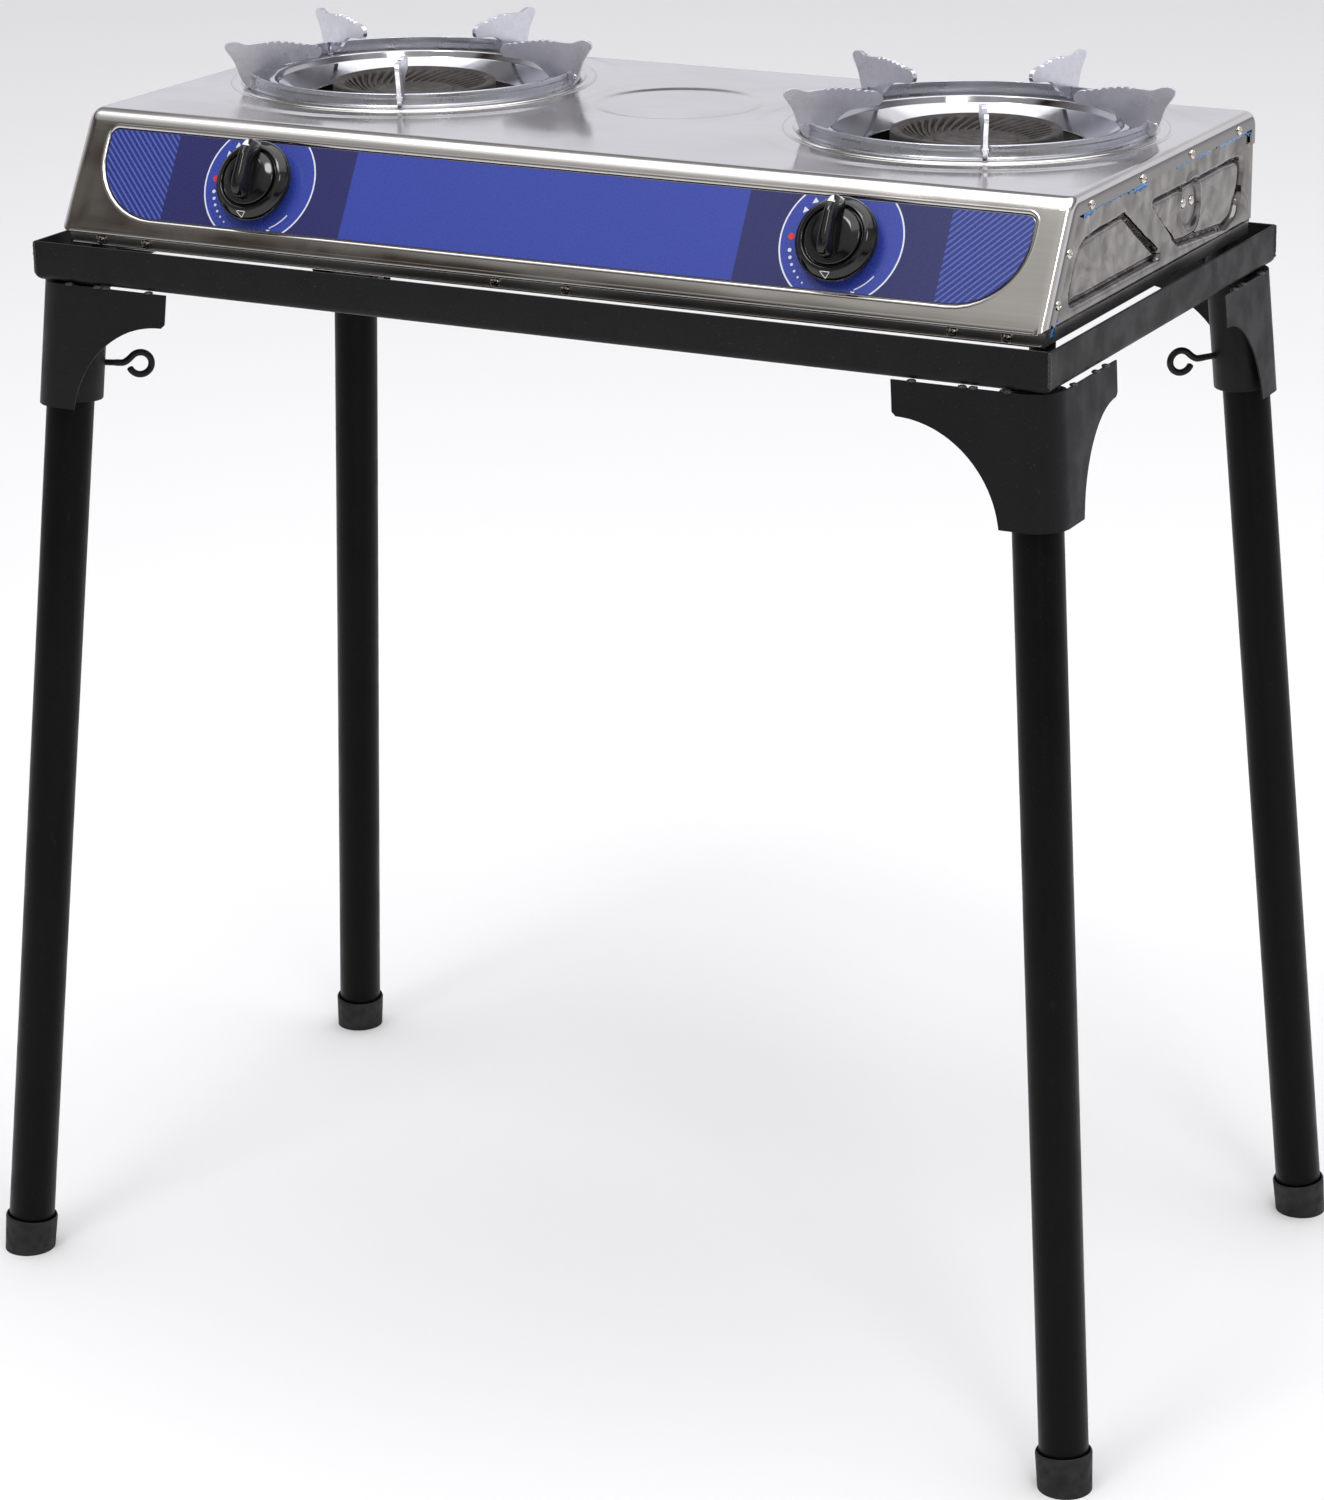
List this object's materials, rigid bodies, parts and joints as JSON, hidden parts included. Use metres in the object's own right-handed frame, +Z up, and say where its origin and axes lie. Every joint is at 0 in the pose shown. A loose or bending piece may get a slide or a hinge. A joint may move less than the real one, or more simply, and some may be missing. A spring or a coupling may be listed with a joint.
{
  "type": "two-burner camp stove on a stand",
  "caption": "Gas camp stove with two burners, finger pan supports and push-and-turn knobs, lying in an angle-iron stand on splayed, removable tube legs with clamp screws.",
  "frame": {"origin": "on the floor, under the middle of the stand", "axes": "+X to the right as seen by the cook, +Y to the back, +Z up; the knobs are on the -Y side"},
  "size_m": [0.8218, 0.48, 0.8324],
  "materials": {
    "stand_paint": "satin black powder coat, lightly scuffed",
    "leg_paint": "semi-gloss black paint on drawn tube",
    "cap_rubber": "moulded black rubber, matt",
    "screw_black": "black-coated bent wire, glossy",
    "cover_steel": "bright stamped stainless sheet",
    "panel_steel": "mirror-like stamped stainless sheet",
    "tube_steel": "zinc-plated steel tube",
    "label_print": "printed film, satin gloss, dark and royal blue",
    "burner_iron": "dark brown cast iron, rough",
    "pan_chrome": "polished chrome plate",
    "support_zinc": "galvanised sheet with fine sparkle",
    "igniter_ceramic": "glazed white ceramic",
    "valve_metal": "machined brass",
    "knob_plastic": "gloss black moulded plastic",
    "foot_rubber": "black rubber"
  },
  "bodies": {
    "stand": {"bracket_front_left": "stand_paint", "bracket_front_right": "stand_paint", "bracket_rear_left": "stand_paint", "bracket_rear_right": "stand_paint", "rail_front": "stand_paint", "rail_left": "stand_paint", "rail_rear": "stand_paint", "rail_right": "stand_paint", "socket_front_left": "stand_paint", "socket_front_right": "stand_paint", "socket_rear_left": "stand_paint", "socket_rear_right": "stand_paint"},
    "leg_front_left": {"leg_front_left": "leg_paint", "foot_cap_front_left": "cap_rubber"},
    "leg_front_right": {"leg_front_right": "leg_paint", "foot_cap_front_right": "cap_rubber"},
    "leg_rear_left": {"leg_rear_left": "leg_paint", "foot_cap_rear_left": "cap_rubber"},
    "leg_rear_right": {"leg_rear_right": "leg_paint", "foot_cap_rear_right": "cap_rubber"},
    "eye_screw_front_left": {"eye_screw_front_left": "screw_black"},
    "eye_screw_front_right": {"eye_screw_front_right": "screw_black"},
    "eye_screw_rear_left": {"eye_screw_rear_left": "screw_black"},
    "eye_screw_rear_right": {"eye_screw_rear_right": "screw_black"},
    "stove": {"base_pan": "panel_steel", "burner_body_left": "burner_iron", "burner_body_right": "burner_iron", "control_label": "label_print", "gas_manifold": "tube_steel", "igniter_left": "igniter_ceramic", "igniter_right": "igniter_ceramic", "side_panel_left": "panel_steel", "side_panel_right": "panel_steel", "stove_foot_front_left": "foot_rubber", "stove_foot_front_right": "foot_rubber", "stove_foot_rear_left": "foot_rubber", "stove_foot_rear_right": "foot_rubber", "top_cover": "cover_steel", "valve_left": "valve_metal", "valve_right": "valve_metal"},
    "drip_pan_left": {"drip_pan_left": "pan_chrome"},
    "pan_support_left": {"pan_ring_left": "support_zinc", "finger_left_1": "support_zinc", "finger_left_2": "support_zinc", "finger_left_3": "support_zinc", "finger_left_4": "support_zinc", "finger_left_5": "support_zinc"},
    "burner_cap_left": {"burner_cap_left": "burner_iron"},
    "valve_stem_left": {"valve_stem_left": "valve_metal"},
    "knob_left": {"knob_left": "knob_plastic"},
    "drip_pan_right": {"drip_pan_right": "pan_chrome"},
    "pan_support_right": {"pan_ring_right": "support_zinc", "finger_right_1": "support_zinc", "finger_right_2": "support_zinc", "finger_right_3": "support_zinc", "finger_right_4": "support_zinc", "finger_right_5": "support_zinc"},
    "burner_cap_right": {"burner_cap_right": "burner_iron"},
    "valve_stem_right": {"valve_stem_right": "valve_metal"},
    "knob_right": {"knob_right": "knob_plastic"}
  },
  "joints": [
    {"name": "leg_front_left_pull", "type": "slide", "parent": "stand", "child": "leg_front_left", "axis": [-0.0747, -0.068, -0.9949], "range_m": [0, 0.085]},
    {"name": "leg_front_right_pull", "type": "slide", "parent": "stand", "child": "leg_front_right", "axis": [0.0747, -0.068, -0.9949], "range_m": [0, 0.085]},
    {"name": "leg_rear_left_pull", "type": "slide", "parent": "stand", "child": "leg_rear_left", "axis": [-0.0747, 0.068, -0.9949], "range_m": [0, 0.085]},
    {"name": "leg_rear_right_pull", "type": "slide", "parent": "stand", "child": "leg_rear_right", "axis": [0.0747, 0.068, -0.9949], "range_m": [0, 0.085]},
    {"name": "eye_screw_front_left_turn", "type": "hinge", "parent": "stand", "child": "eye_screw_front_left", "pos_m": [-0.34566, -0.17909, 0.637], "axis": [0.736, 0.6694, -0.101], "continuous": true},
    {"name": "eye_screw_front_right_turn", "type": "hinge", "parent": "stand", "child": "eye_screw_front_right", "pos_m": [0.34566, -0.17909, 0.637], "axis": [-0.736, 0.6694, -0.101], "continuous": true},
    {"name": "eye_screw_rear_left_turn", "type": "hinge", "parent": "stand", "child": "eye_screw_rear_left", "pos_m": [-0.34566, 0.17909, 0.637], "axis": [0.736, -0.6694, -0.101], "continuous": true},
    {"name": "eye_screw_rear_right_turn", "type": "hinge", "parent": "stand", "child": "eye_screw_rear_right", "pos_m": [0.34566, 0.17909, 0.637], "axis": [-0.736, -0.6694, -0.101], "continuous": true},
    {"name": "stove_lift", "type": "slide", "parent": "stand", "child": "stove", "axis": [0, 0, 1], "range_m": [0, 0.12]},
    {"name": "drip_pan_left_lift", "type": "slide", "parent": "stove", "child": "drip_pan_left", "axis": [0, 0, 1], "range_m": [0, 0.04]},
    {"name": "pan_support_left_lift", "type": "slide", "parent": "drip_pan_left", "child": "pan_support_left", "axis": [0, 0, 1], "range_m": [0, 0.06]},
    {"name": "burner_cap_left_lift", "type": "slide", "parent": "stove", "child": "burner_cap_left", "axis": [0, 0, 1], "range_m": [0, 0.03]},
    {"name": "knob_left_turn", "type": "hinge", "parent": "stove", "child": "valve_stem_left", "pos_m": [-0.207, -0.15794, 0.76415], "axis": [0, -0.8685, 0.4958], "range_deg": [0, 150]},
    {"name": "knob_left_push", "type": "slide", "parent": "valve_stem_left", "child": "knob_left", "axis": [0, 0.8685, -0.4958], "range_m": [0, 0.004], "stiffness_N_per_m": 500, "springref_m": -0.004},
    {"name": "drip_pan_right_lift", "type": "slide", "parent": "stove", "child": "drip_pan_right", "axis": [0, 0, 1], "range_m": [0, 0.04]},
    {"name": "pan_support_right_lift", "type": "slide", "parent": "drip_pan_right", "child": "pan_support_right", "axis": [0, 0, 1], "range_m": [0, 0.06]},
    {"name": "burner_cap_right_lift", "type": "slide", "parent": "stove", "child": "burner_cap_right", "axis": [0, 0, 1], "range_m": [0, 0.03]},
    {"name": "knob_right_turn", "type": "hinge", "parent": "stove", "child": "valve_stem_right", "pos_m": [0.207, -0.15794, 0.76415], "axis": [0, -0.8685, 0.4958], "range_deg": [0, 150]},
    {"name": "knob_right_push", "type": "slide", "parent": "valve_stem_right", "child": "knob_right", "axis": [0, 0.8685, -0.4958], "range_m": [0, 0.004], "stiffness_N_per_m": 500, "springref_m": -0.004}
  ]
}
